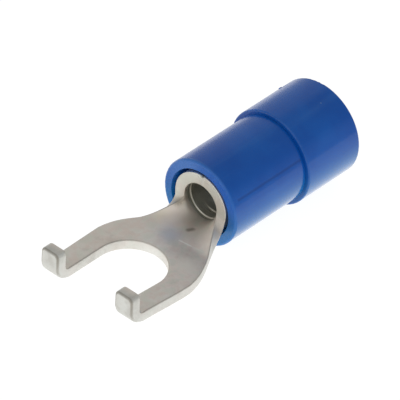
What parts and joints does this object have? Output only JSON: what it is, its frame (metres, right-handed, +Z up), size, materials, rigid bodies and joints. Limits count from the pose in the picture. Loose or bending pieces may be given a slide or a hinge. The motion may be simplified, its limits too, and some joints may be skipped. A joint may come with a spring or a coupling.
{
  "type": "fork terminal",
  "caption": "Pre-insulated fork terminal for a crimped wire end: flat open fork with turned-up prong tips, rolled crimp barrel and stepped blue insulating sleeve.",
  "frame": {"origin": "centre of the stud slot's round root, on the underside of the tongue", "axes": "+X from the fork along the barrel to the wire entry, +Y across the fork, +Z up, the way the prong tips are turned"},
  "size_m": [0.0195, 0.0072, 0.006],
  "materials": {
    "tinned_copper": "satin tin plating over copper",
    "blue_plastic": "satin-gloss moulded plastic"
  },
  "bodies": {
    "root": {"terminal": "tinned_copper", "insulating_sleeve": "blue_plastic"}
  },
  "joints": []
}
